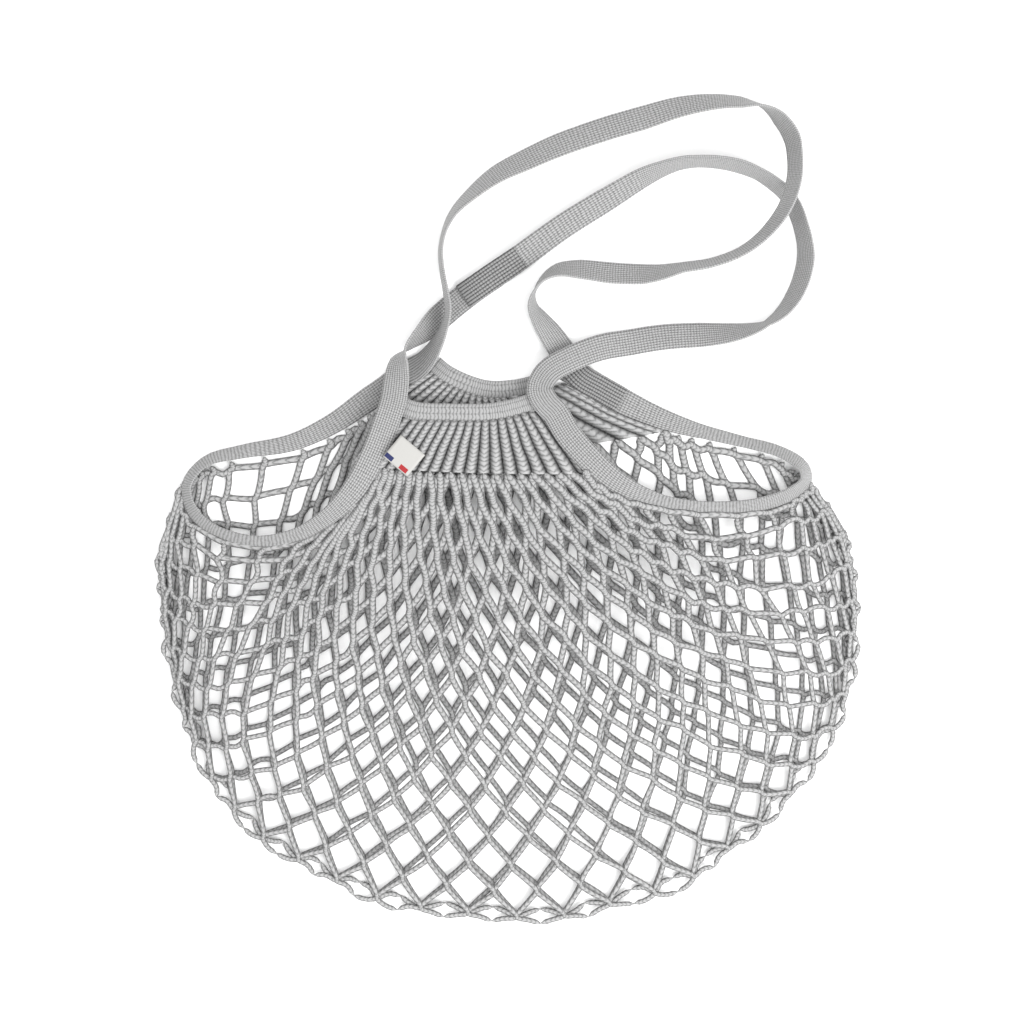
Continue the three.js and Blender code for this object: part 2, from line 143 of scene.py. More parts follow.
left_ring = handle_rows([
    # across, along, over, lift, high, slant, width
    (0.226, 0.412, 0, 0, 0, -180, 1),
    (0.163, 0.354, 0, 0, 0, -180, 1),
    (0.099, 0.285, 0, 0, 0, -176, 1),
    (0.052, 0.223, 0, 0, 0.05, -132, 1),
    (0.007, 0.167, 0, 0, 0.25, -95, 0.9),
    (-0.010, 0.125, 0, 0, 0.50, -45, 1),
    (-0.017, 0.056, 0, 0, 0.85, -12, 1),
]) + opening_rows(mouth_left, -POUCH_WIDTH / 2, [
    # across, along, seat, rise, slant, width
    (0.042, 0.950, 1, 0.84, 5, 1),
    (0.078, 0.600, 1, 0.90, 12, 1),
    (0.123, 0.220, 1, stitch_share, 12, 1),
    (0.197, -0.230, 1, 0.90, 12, 0.95),
    (0.297, -0.615, 1, 0.84, 12, 0.68),
    (0.418, -0.890, 1, 0.74, 12, 0.53),
    (0.578, -1.000, 1, 0.54, 15, 0.42),
    (0.745, -0.850, 1, 0.24, 30, 0.43),
    (0.845, -0.560, 1, 0.04, 45, 0.6),
    (0.872, -0.160, 1, 0, 50, 0.56),
    (0.800, 0.180, 1, 0, 35, 0.46),
    (0.659, 0.310, 0, 0, 15, 0.52),
    (0.458, 0.430, 0, 0, 5, 0.66),
    (0.297, 0.667, 0, 0, 0, 0.78),
    (0.150, 1.000, 0, 0, 0, 0.93),
    (0.045, 1.230, 0, 0, 0, 1),
])
right_ring = handle_rows([
    # across, along, over, lift, high, slant, width
    (0.395, 0.108, 0, 0, 0, 0, 1),
    (0.473, 0.046, 0, 0, 0, 0, 1),
    (0.547, -0.010, 0, 0, 0, 0, 1),
]) + opening_rows(mouth_right, POUCH_WIDTH / 2, [
    # across, along, seat, rise, slant, width
    (0.414, 0.733, 0, 0, 0, 0.78),
    (0.533, 0.573, 0, 0, 5, 0.52),
    (0.653, 0.440, 0, 0, 15, 0.42),
    (0.758, 0.307, 1, 0, 35, 0.48),
    (0.824, 0.107, 1, 0, 50, 0.7),
    (0.830, -0.090, 1, 0.02, 50, 0.72),
    (0.795, -0.260, 1, 0.12, 40, 0.66),
    (0.728, -0.400, 1, 0.30, 30, 0.6),
    (0.638, -0.477, 1, 0.52, 15, 0.48),
    (0.518, -0.477, 1, 0.72, 12, 0.44),
    (0.399, -0.385, 1, 0.84, 12, 0.48),
    (0.279, -0.138, 1, 0.90, 12, 0.8),
    (0.190, 0.200, 1, stitch_share, 12, 0.98),
    (0.124, 0.533, 1, 0.90, 12, 1),
    (0.084, 0.830, 1, 0.86, 8, 1),
])
back_handle = handle_rows([
    # across, along, over, lift, high, slant, width
    (-0.005, 0.084, 0, 0, 0, 0, 1),
    (0.022, 0.100, 0, 0, 0, 12, 1),
    (0.049, 0.125, 0, 0.02, 0, 35, 1),
    (0.074, 0.170, 0, 0.08, 0, 55, 1),
    (0.096, 0.226, 1, 0.12, 0, 70, 1),
    (0.109, 0.290, 1, 0.16, 0, 78, 1),
    (0.103, 0.350, 1, 0.12, 0, 80, 1),
    (0.093, 0.426, 0, 0.04, 0, 82, 1),
    (0.090, 0.490, 0, 0, 0, 82, 1),
    (0.099, 0.550, 0, 0, 0, 80, 1),
    (0.121, 0.610, 0, 0, 0, 72, 1),
    (0.163, 0.669, 0, 0, 0, 60, 1),
    (0.224, 0.734, 0, 0, 0, 45, 1),
    (0.298, 0.785, 0, 0, 0, 33, 1),
    (0.384, 0.836, 0, 0, 0, 25, 1),
    (0.483, 0.882, 0, 0, 0, 22, 1),
    (0.581, 0.921, 0, 0, 0, 22, 1),
    (0.680, 0.959, 0, 0, 0, 35, 1),
    (0.766, 0.974, 0, 0, 0, 50, 1),
    (0.828, 0.972, 0, 0, 0, 60, 1),
    (0.882, 0.957, 0, 0, 0, 85, 1),
    (0.921, 0.918, 0, 0, 0, 110, 1),
    (0.951, 0.856, 0, 0.1, 0, 122, 0.95),
    (0.957, 0.790, 0, 0.4, 0, 125, 0.85),
    (0.955, 0.725, 1, 0.6, 0, 132, 0.75),
    (0.944, 0.664, 1, 0.64, 0, 135, 0.7),
    (0.921, 0.600, 1, 0.48, 0, 130, 0.72),
    (0.882, 0.537, 0, 0.2, 0, 120, 0.8),
    (0.829, 0.484, 0, 0, 0, 113, 0.9),
    (0.754, 0.446, 0, 0, 0, 112, 1),
    (0.680, 0.430, 0, 0, 0, 115, 1),
    (0.631, 0.416, 0, 0, 0, 128, 1),
    (0.581, 0.410, 0, 0, 0, 142, 1),
    (0.507, 0.415, 0, 0, 0, 145, 1),
    (0.433, 0.426, 0, 0, 0, 138, 1),
    (0.379, 0.423, 0, 0, 0, 122, 1),
    (0.341, 0.393, 0, 0, 0, 102, 1),
    (0.320, 0.349, 0, 0, 0, 88, 1),
    (0.318, 0.305, 0, 0, 0, 68, 1),
    (0.337, 0.259, 0, 0, 0, 45, 1),
    (0.365, 0.207, 0, 0, 0, 20, 1),
    (0.394, 0.150, 1, 0, 0, 3, 1),
    (0.433, 0.078, 1, 0, 0, 0, 1),
    (0.483, 0.038, 1, 0, 0, 0, 1),
    (0.535, -0.001, 1, 0, 0, 0, 1),
])
front_handle = handle_rows([
    # across, along, over, lift, high, slant, width
    (0.349, -0.012, 0, 0, 1.12, 5, 1),
    (0.333, 0.033, 0, 0, 1.06, 5, 1),
    (0.352, 0.087, 0, 0, 0.82, 5, 1),
    (0.404, 0.130, 1, 0, 0.50, 5, 1),
    (0.478, 0.170, 1, 0, 0.05, 0, 1),
    (0.557, 0.189, 0, 0, 0, 5, 1),
    (0.643, 0.207, 0, 0, 0, 15, 1),
    (0.729, 0.213, 0, 0, 0, 22, 1),
    (0.791, 0.218, 0, 0, 0, 40, 1),
    (0.847, 0.230, 0, 0, 0, 60, 1),
    (0.889, 0.249, 0, 0, 0, 78, 1),
    (0.926, 0.285, 0, 0, 0, 66, 1),
    (0.956, 0.338, 0, 0, 0, 58, 1),
    (0.975, 0.397, 0, 0, 0, 56, 1),
    (0.985, 0.459, 0, 0, 0, 57, 1),
    (0.983, 0.515, 0, 0, 0, 60, 0.95),
    (0.973, 0.574, 0, 0, 0, 58, 0.85),
    (0.958, 0.630, 0, 0, 0, 50, 0.75),
    (0.936, 0.675, 0, 0, 0, 48, 0.7),
    (0.906, 0.708, 0, 0, 0, 58, 0.75),
    (0.869, 0.738, 0, 0, 0, 68, 0.85),
    (0.823, 0.761, 0, 0, 0, 70, 1),
    (0.773, 0.774, 0, 0, 0, 72, 1),
    (0.722, 0.777, 0, 0, 0, 74, 1),
    (0.675, 0.770, 0, 0, 0, 70, 1),
    (0.631, 0.751, 0, 0, 0, 62, 1),
    (0.581, 0.721, 0, 0, 0, 48, 1),
    (0.483, 0.643, 0, 0, 0, 30, 1),
    (0.384, 0.561, 0, 0, 0, 25, 1),
    (0.286, 0.466, 0.5, 0, 0, 20, 1),
    (0.220, 0.407, 1, 0, 0, 5, 1),
    (0.163, 0.354, 1, 0, 0, 0, 1),
    (0.146, 0.338, 1, 0, 0, 0, 1),
])
# Rows at which a tape passes a yoke's corners and the far end of its side opening.
left_rows = {"yoke_corner": 9, "side": 16, "back_yoke_corner": 21}
right_rows = {"back_yoke_corner": 3, "side": 8, "yoke_corner": 15}
left_run = TapeRun(left_ring + back_handle)
right_run = TapeRun(right_ring + front_handle)


def linear(hex_colour):
    """sRGB hex colour as the linear RGBA that shaders take."""
    parts = [int(hex_colour[i:i + 2], 16) / 255 for i in (1, 3, 5)]
    return tuple(c / 12.92 if c <= 0.04045 else ((c + 0.055) / 1.055) ** 2.4 for c in parts) + (1,)


def add_node(tree, kind, links=None, **settings):
    """Adds one node: settings are its properties, links maps an input to a value or a socket."""
    node = tree.nodes.new(kind)
    for name, value in settings.items():
        setattr(node, name, value)
    for name, value in (links or {}).items():
        if isinstance(value, bpy.types.NodeSocket):
            tree.links.new(value, node.inputs[name])
        else:
            node.inputs[name].default_value = value
    return node


def cotton(name, wale, course, lean, gap, light, shade_colour, depth, roughness):
    """Matte cotton with rows of V stitches on its UV map, which is in metres: u along the rows, v
    across them. Its colour follows the stitches' height: the light colour on the tops and the shade
    colour, painted shade, in the low gaps between rows. wale is a row's width and course a stitch's
    length, in metres, lean how steep the legs of a V are, and gap how broad the line of painted shade
    between two rows is. Stitches are drawn up to a third coarser than the yarn, so that one is wider
    than a pixel.
    Rows wander over 3 mm, and the hairs, whose painted highlights stand for the light they catch, are
    1 mm apart, which is coarser than life for the same reason."""
    material = bpy.data.materials.new(name)
    material.use_nodes = True
    tree = material.node_tree
    shader = tree.nodes["Principled BSDF"]
    uv = add_node(tree, "ShaderNodeUVMap", uv_map="UVMap")
    place = add_node(tree, "ShaderNodeTexCoord").outputs["Object"]
    wander = add_node(tree, "ShaderNodeTexNoise", {"Vector": place, "Scale": 300.0, "Detail": 2.0})
    fuzz = add_node(tree, "ShaderNodeTexNoise", {"Vector": place, "Scale": 900.0, "Detail": 3.0})
    split = add_node(tree, "ShaderNodeSeparateXYZ", {0: uv.outputs[0]})
    value = {"u": split.outputs["X"], "v": split.outputs["Y"],
             "wander": wander.outputs["Fac"], "fuzz": fuzz.outputs["Fac"]}
    shift = 0.35             # keeps a seam between rows off the middle of a strip, and loops off black
    for made, operation, a, b in (
        ("row", "MULTIPLY_ADD", "v", 1 / wale),
        ("part", "FRACT", "row", 0.0),
        ("off", "SUBTRACT", "part", 0.5),
        ("leg", "ABSOLUTE", "off", 0.0),
        ("count", "MULTIPLY", "u", 1 / course),
        ("slope", "MULTIPLY", "leg", lean),
        ("step", "ADD", "count", "slope"),
        ("stray", "MULTIPLY", "wander", 0.8),
        ("stitch", "ADD", "step", "stray"),
        ("turn", "MULTIPLY", "stitch", math.pi),
        ("wave", "SINE", "turn", 0.0),
        ("along", "ABSOLUTE", "wave", 0.0),
        ("side", "MULTIPLY", "row", math.pi),
        ("lobe", "SINE", "side", 0.0),
        ("ridge", "ABSOLUTE", "lobe", 0.0),
        ("across", "POWER", "ridge", gap),
        ("mound", "MULTIPLY_ADD", "along", 0.5),
        ("loop", "MULTIPLY", "mound", "across"),
        # The fuzz roughens the bump and lightens the colour, a painted highlight where hairs catch the
        # light.
        ("hair_and_glint", "MULTIPLY", "fuzz", 0.4),
        ("height", "ADD", "loop", "hair_and_glint"),
    ):
        value[made] = add_node(tree, "ShaderNodeMath", {0: value[a], 1: value.get(b, b), 2: shift},
                               operation=operation).outputs[0]
    # Colour by height: the tops take the light colour, and the low gaps between rows and stitches take
    # the shade colour, which is painted shade.
    ramp = add_node(tree, "ShaderNodeValToRGB", {"Fac": value["height"]})
    ramp.color_ramp.elements[0].position = 0.2
    ramp.color_ramp.elements[0].color = linear(shade_colour)
    ramp.color_ramp.elements[1].position = 0.95
    ramp.color_ramp.elements[1].color = linear(light)
    bump = add_node(tree, "ShaderNodeBump",
                    {"Height": value["height"], "Strength": 0.5, "Distance": depth})
    tree.links.new(ramp.outputs["Color"], shader.inputs["Base Color"])
    tree.links.new(bump.outputs["Normal"], shader.inputs["Normal"])
    shader.inputs["Roughness"].default_value = roughness
    shader.inputs["Specular IOR Level"].default_value = 0.25
    shader.inputs["Sheen Weight"].default_value = 0.15
    shader.inputs["Sheen Roughness"].default_value = 0.6
    return material


def lay_grid(bm, along, across, place, size):
    """Adds a grid to bm and lays its points by place(i, j). Its UV map is in metres."""
    uv = bm.loops.layers.uv.get("UVMap") or bm.loops.layers.uv.new("UVMap")
    made = bmesh.ops.create_grid(bm, x_segments=along, y_segments=across, size=0.5)["verts"]
    spots = {v: (round((v.co.x + 0.5) * along), round((v.co.y + 0.5) * across)) for v in made}
    for face in {f for v in made for f in v.link_faces}:
        face.smooth = True
        for loop in face.loops:
            i, j = spots[loop.vert]
            loop[uv].uv = (i / along * size[0], j / across * size[1])
    for v, (i, j) in spots.items():
        v.co = place(i, j) * MM


def finish_piece(bm, name, material):
    """Makes bm an object at the origin. The bag is one body."""
    bmesh.ops.recalc_face_normals(bm, faces=bm.faces)
    mesh = bpy.data.meshes.new(name)
    bm.to_mesh(mesh)
    bm.free()
    mesh.materials.append(material)
    piece = bpy.data.objects.new(name, mesh)
    scene.collection.objects.link(piece)
    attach(piece, "root")
    return piece


def thicken(piece, thick):
    """Gives a sheet its thickness, in millimetres, half to each side."""
    solid = piece.modifiers.new("Thickness", "SOLIDIFY")
    solid.thickness = thick * MM
    solid.offset = 0


def lay_tape(name, run, steps_per_row, material, cup=0.35, stray=0.25, join=None, join_rows=0):
    """A knitted tape along its run, a little hollow across and never quite straight. Its last
    join_rows rows are of the material join."""
    bm = bmesh.new()
    along, across = run.last * steps_per_row, TAPE_STRIPS
    rings = [run.at(i / steps_per_row) for i in range(along + 1)]
    length = sum((rings[i + 1][0] - rings[i][0]).length for i in range(along))

    def place(i, j):
        centre, side, slant, half, base, reach = rings[i]
        wide = side * math.cos(slant) + UP * math.sin(slant)
        deep = side * -math.sin(slant) + UP * math.cos(slant)
        share = 2 * j / across - 1
        wave = noise.noise(centre * 0.05 + UP * 3.1) * stray
        point = centre + wide * (share * half + wave) + deep * cup * (0.5 - share * share)
        return point + deep * noise.noise(point * 0.09) * stray * 0.6 * (abs(share) < 1)

    lay_grid(bm, along, across, place, (length * MM, run.full * MM))
    uv = bm.loops.layers.uv["UVMap"]
    for face in bm.faces:
        reach = sum(loop[uv].uv.x for loop in face.loops) / len(face.loops)
        row = reach / (length * MM) * run.last
        face.material_index = int(row > run.last - join_rows)
    piece = finish_piece(bm, name, material)
    if join:
        piece.data.materials.append(join)
    thicken(piece, TAPE_THICK * TAPE_SHARE)
    return piece, length


# Knitted cotton tape: rows of small V stitches side by side, matte, with fine gaps between them that are
# drawn darker as painted shade.
tape_cotton = cotton("knitted cotton tape", 0.0015, 0.0014, lean=0.6, gap=0.5,
                     light="#9c9c9c", shade_colour="#242424", depth=0.0003, roughness=0.88)
# Where a tape's end is sewn down, the two layers are stitched through, so the knit is drawn coarser;
# its darker colour is painted shade.
shaded_join_cotton = cotton("cotton tape sewn double with painted shade", 0.0019, 0.0017, lean=0.6, gap=0.8,
                     light="#8a8a8a", shade_colour="#080808", depth=0.0004, roughness=0.88)
JOIN_ROWS = 3

tape_left, left_length = lay_tape("tape_left", left_run, 4, tape_cotton,
                                  join=shaded_join_cotton, join_rows=JOIN_ROWS)
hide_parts("binding_left", "handle_back")
tape_right, right_length = lay_tape("tape_right", right_run, 4, tape_cotton,
                                    join=shaded_join_cotton, join_rows=JOIN_ROWS)
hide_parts("binding_right", "handle_front")


# Mouth bands. A short length of narrower cotton tape is sewn over the top of each gathered yoke,
# between the two long tapes, and binds the mouth's edge.
BAND_WIDTH = 10.5


def band_rows(table, base):
    """Rows of a band's way, left to right: a share of the mouth's width, and of the band's own."""
    return [(mouth_left + across * MOUTH_WIDTH, mouth_y + along * BAND_WIDTH, base, 0, 1)
            for across, along in table]


front_band_run = TapeRun(band_rows([
    (-0.060, -0.20), (0.100, -0.62), (0.400, -0.72), (0.700, -0.70), (0.900, -0.45), (1.060, -0.10),
], front_band_base), BAND_WIDTH)
back_band_run = TapeRun(band_rows([
    (0.250, 1.95), (0.350, 1.42), (0.560, 0.78), (0.720, 0.55), (0.940, 0.66), (1.080, 0.90),
], 0), BAND_WIDTH)
# Cotton band: three broad rows of stitches with thin lines of painted shade between them, so smoother
# than the tapes.
band_cotton = cotton("cotton band", BAND_WIDTH * MM / 3, 0.0016, lean=0.5, gap=0.15,
                     light="#989898", shade_colour="#1c1c1c", depth=0.0003, roughness=0.88)
for name, node, run in (
    ("band_front", "mouth_band_front", front_band_run),
    ("band_back", "mouth_band_back", back_band_run),
):
    band, band_length = lay_tape(name, run, 12, band_cotton, cup=0.7, stray=0.1)
    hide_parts(node)


# Gathered yokes. Rib-knit cotton draws the net together under each band: the ribs stand up side by
# side and fan out to the line where the knit opens into the net. Each is sewn on under its band and,
# at both ends, under the tapes.
YOKE_DEPTH = 27
YOKE_WALL = 1.1
RIBS = 19
RIB_HEIGHT = 2.5
RIB_WIDTH = 5.0          # one rib, before the yoke is drawn together
SEAM_GAP = 0.6
TUCKED = 0.8             # how far the ribs go under the band


def stitch_line(left, right, band, crown):
    """Line where a yoke's ribs end and the net begins, bent to pass a yoke's depth under its band."""
    middle = band.beside(0.5 * band.last, 1, CLEARANCE)
    middle.y -= YOKE_DEPTH
    middle.z = crown
    bend = 2 * middle - 0.5 * left - 0.5 * right
    return lambda s: left * (1 - s) ** 2 + bend * 2 * s * (1 - s) + right * s * s


def front_edge(run, rows):
    """Where the front net meets a tape, from the far end of the side opening to the yoke."""
    return lambda s: run.beside(mix(rows["side"], rows["yoke_corner"], s), -1, SEAM_GAP)


def back_edge(run, rows):
    """The same for the back net, which crosses under the tape at the far end."""
    turn = 1 / abs(rows["back_yoke_corner"] - rows["side"])

    def edge(s):
        side = min(mix(-1, 1, s / turn), 1)
        return run.beside(mix(rows["side"], rows["back_yoke_corner"], s), side, SEAM_GAP)

    return edge


# Rib-knit cotton: one plump column of V stitches to a rib, with a deep valley on each side that is drawn
# darker as painted shade.
rib_cotton = cotton("rib-knit cotton", RIB_WIDTH * MM, 0.0023, lean=1.7, gap=1.5,
                    light="#a1a1a1", shade_colour="#0a0a0a", depth=0.0005, roughness=0.9)
front_left_edge, front_right_edge = front_edge(left_run, left_rows), front_edge(right_run, right_rows)
back_left_edge, back_right_edge = back_edge(left_run, left_rows), back_edge(right_run, right_rows)
front_stitch = stitch_line(front_left_edge(1), front_right_edge(1), front_band_run,
                           rim_base + POUCH_LOFT)
back_stitch = stitch_line(back_left_edge(1), back_right_edge(1), back_band_run, 0)


def row_at(run, share):
    """Row at a share of a run's length."""
    reach = [0.0]
    for a, b in zip(run.points, run.points[1:]):
        reach.append(reach[-1] + (b - a).length)
    want = share * reach[-1]
    i = max(k for k in range(run.last) if reach[k] <= want)
    return i + (want - reach[i]) / (reach[i + 1] - reach[i])


def gather_yoke(name, node, band, band_ends, rib_ends, stitch, ends_sink, last_rib=None):
    """Ribs from under the band's edge to the stitch line. At both ends they go under the tapes, by
    ends_sink. last_rib is the way of the right-hand rib, where that one runs along a tape."""
    bm = bmesh.new()
    across, down = RIBS * 10, 16

    def place(i, j):
        s, t = j / across, i / down
        top = band.beside(row_at(band, mix(*band_ends, s)), 1, -TUCKED)
        low = stitch(mix(*rib_ends, s))
        point = top.lerp(low, t * 1.07)
        if last_rib:
            point = point.lerp(last_rib(t), max(s - 0.72, 0) / 0.28)
        swell = math.sin(math.pi * ((s * RIBS + 0.35) % 1)) ** mix(0.8, 1.8, t)
        waver = noise.noise(Vector((s * RIBS * 0.7, t * 3, 0)))
        point.x += waver * 0.5 * math.sin(math.pi * t)
        rise = min(0.3 + 5 * t, 1, 0.6 + 3 * (1 - t))
        point.z += YOKE_WALL / 2 + RIB_HEIGHT * (swell * (1 + 0.25 * waver)) * rise
        point.z -= ends_sink * max(1 - s / 0.22, 1 - (1 - s) / 0.06, 0)
        return point

    start, end = (band.beside(row_at(band, share), 1, 0) for share in band_ends)
    width = ((end - start).length + (stitch(rib_ends[0]) - stitch(rib_ends[1])).length) / 2
    lay_grid(bm, down, across, place, ((YOKE_DEPTH + TUCKED) * MM, RIBS * RIB_WIDTH * MM))
    piece = finish_piece(bm, name, rib_cotton)
    thicken(piece, YOKE_WALL)
    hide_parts(node)
    return piece


def back_last_rib(t):
    """The back yoke's right-hand rib runs along the right tape."""
    return right_run.beside(mix(0.2, right_rows["back_yoke_corner"], t), 1, SEAM_GAP)


yoke_front = gather_yoke("yoke_front", "rib_yoke_front", front_band_run,
                         (0.0, 1.0), (-0.22, 1.0), front_stitch, 3)
gather_yoke("yoke_back", "rib_yoke_back", back_band_run,
            (0.02, 0.98), (0.0, 1.0), back_stitch, 0, back_last_rib)


# Net pouch. One knitted cotton net, folded at the bottom. Its knitted strips are 19 mm long from knot
# to knot. They hang straight down from the yokes, open out into diamonds towards the fold, and bunch
# up at the far end of each side opening.
HALF_YOKE = 18           # half diamonds each side of the middle that hang from a yoke
ROWS = 16                # half rows of diamonds from the yoke to the fold
OUTER = 23               # strip that lies along the side fold
STRIP = 18.8             # length of a strip from knot to knot
SIDES = 8                # faces round a strip
BETWEEN = 5              # steps between two knots
HEM = 4.5                # last knots above the fold
HALF_FOLD = 2 * OUTER - ROWS
WIDEST = HALF_FOLD + 3   # half columns each side of the middle, with those past the fold's end
TOP_HALF = 2.4           # half width of a strip under a yoke, where two lie close together
LOW_HALF = 1.5           # half width of a strip from LOW_ROW down
LOW_ROW = 12
STRIP_HALF_THICK = 0.95
SETTLING = 25            # rounds in which the knots find their places
KNOT_STRAY = 2.4
GATHER = 64              # how far in from the side fold the net is gathered
GATHER_FOOT = 175        # how far down the sides the gather goes
GATHER_FADE = 60         # length over which it fades out there
GATHER_PULL = 0.62       # share of the way to the fold that it draws a knot at the fold
# This puts the darker lines between the rows of stitches, painted shade, on a strip's two upper sides
# and underneath, so a strip is drawn darker at its edges.
SHADE_SEAM_AT = 0.84           # where round a strip its rows of stitches start, in radians
CROSSING = 0.3           # how far over or under the middle each family of strips lies
NET_LIFT = 1.0           # a strip's middle above what it lies on


# Net cotton: the same yarn, knitted looser, so its stitches are bigger; the gaps between them are drawn
# darker as painted shade. Three columns of stitches go round a strip.
NET_WALE = 0.0028
net_cotton = cotton("knitted cotton net", NET_WALE, 0.0021, lean=1.2, gap=0.7,
                    light="#9d9d9d", shade_colour="#1e1e1e", depth=0.0004, roughness=0.9)


def outline(table):
    """Points of the side fold, from shares of the pouch's width and length."""
    return [Vector((across * POUCH_WIDTH, shoulder_y - down * POUCH_LENGTH, 0))
            for across, down in table]


left_side = outline([
    (-0.152, 0.971), (-0.209, 0.944), (-0.259, 0.906), (-0.309, 0.862), (-0.348, 0.824),
    (-0.387, 0.768), (-0.426, 0.690), (-0.453, 0.601), (-0.476, 0.490), (-0.489, 0.390),
    (-0.497, 0.290), (-0.500, 0.223), (-0.497, 0.156), (-0.486, 0.096), (-0.468, 0.058),
])
bottom = outline([
    (0.096, 0.991), (0.032, 1.000), (-0.032, 0.993), (-0.096, 0.984),
])
right_side = outline([
    (0.160, 0.962), (0.209, 0.944), (0.259, 0.915), (0.308, 0.853), (0.347, 0.808),
    (0.415, 0.702), (0.450, 0.617), (0.474, 0.546), (0.490, 0.468), (0.497, 0.367),
    (0.500, 0.278), (0.494, 0.200), (0.483, 0.134), (0.460, 0.078), (0.440, 0.038),
])
fold_points = left_side[::-1] + bottom[::-1] + right_side
fold_reach = [0.0]
for a, b in zip(fold_points, fold_points[1:]):
    fold_reach.append(fold_reach[-1] + (b - a).length)


def fold_at(column, inset):
    """Where half column number column goes over the fold. Past the last one it runs up the side."""
    c = abs(column) / WIDEST
    want = fold_reach[-1] * (0.5 + math.copysign(0.5 * c * (1.26 - 0.26 * c), column))
    want = min(max(want, 0), fold_reach[-1])
    i = max(k for k in range(len(fold_reach) - 1) if fold_reach[k] <= want)
    t = i + (want - fold_reach[i]) / (fold_reach[i + 1] - fold_reach[i])
    after, before = min(t + 0.05, len(fold_points) - 1), max(t - 0.05, 0)
    ahead = through(fold_points, after) - through(fold_points, before)
    inward = Vector((-ahead.y, ahead.x, 0)).normalized()
    return through(fold_points, t) + inward * inset


fold_line = [through(fold_points, i / 6) for i in range(6 * (len(fold_points) - 1) + 1)]


def bunch(spot):
    """Draws a knot at the side of the bag towards the side fold, where the net lies in a gather."""
    strength = min(max((spot.y + GATHER_FOOT) / GATHER_FADE, 0), 1)
    flat = Vector((spot.x, spot.y, 0))
    fold = min(fold_line, key=lambda point: (point - flat).length)
    share = (fold - flat).length / GATHER
    return spot + (fold - flat) * (GATHER_PULL * strength * max(1 - share, 0))


def lay_knots(stitch, edges, tape_knots, tape_gap, hem, height, seed):
    """Places of the knots on one side of the net, by row and half column, and the points on the
    tape from which a short tie comes down to a knot that lies well clear of it. tape_knots are the
    places of the knots along a side opening's tape, from the yoke's corner. The last knots are the
    two lengths hem above the fold."""

    def top_at(column):
        if abs(column) <= HALF_YOKE:
            return stitch((column + HALF_YOKE) / (2 * HALF_YOKE)), Vector((0, -1, 0))
        far = tape_knots[abs(column) - HALF_YOKE] / tape_knots[-1]
        edge = edges[column > 0]
        spot, ahead = edge(1 - far), edge(max(1 - far - 0.01, 0)) - edge(min(1 - far + 0.01, 1))
        away = Vector((ahead.y, -ahead.x, 0)).normalized() * (-1 if column > 0 else 1)
        if away.y > 0:
            away = -away
        return spot, away

    knots, ties, fixed = {}, {}, set()
    for row in range(ROWS + 2):
        for column in range(-2 * OUTER, 2 * OUTER + 1):
            start = max(0, abs(column) - HALF_YOKE)
            outside = row + abs(column) > 2 * OUTER or abs(column) > WIDEST
            if (row - column) % 2 or row < start or outside:
                continue
            top, away = top_at(column)
            share = (row - start) / max(ROWS - start, 1)
            share += 0.13 * share * (1 - share)
            low = fold_at(column, hem[0] if row <= ROWS else hem[1])
            spot = top.lerp(low, min(share, 1))
            if row == start:
                spot = top + away * tape_gap * (abs(column) > HALF_YOKE)
                if abs(column) > HALF_YOKE and tape_gap > 2:
                    ties[row, column] = top + UP
            if row == start or row >= ROWS or row + abs(column) == 2 * OUTER:
                fixed.add((row, column))
            spot.z = height(min(share, 1), top.z)
            knots[row, column] = spot
    links = [(key, (key[0] + 1, key[1] + side)) for key in knots for side in (-1, 1)
             if (key[0] + 1, key[1] + side) in knots]
    near = {key: [] for key in knots}
    for a, b in links:
        near[a].append(b)
        near[b].append(a)
    for _ in range(SETTLING):
        for key, others in near.items():
            if key in fixed:
                continue
            spot = knots[key]
            pull = Vector((0, 0, 0))
            for other in others:
                way = knots[other] - spot
                way.z = 0
                long = max(way.length, 0.1)
                pull += way * (0.10 + (0.20 if long > STRIP else 0.04) * (long - STRIP) / long)
            knots[key] = spot + pull * 0.6
    for key in knots:
        if key not in fixed:
            cell = Vector((key[1] * 0.65, key[0] * 0.9, seed))
            stray = Vector((noise.noise(cell), noise.noise(cell + Vector((9.1, 4.7, 0))), 0))
            knots[key] += stray * KNOT_STRAY
            knots[key] = bunch(knots[key])
    return knots, ties


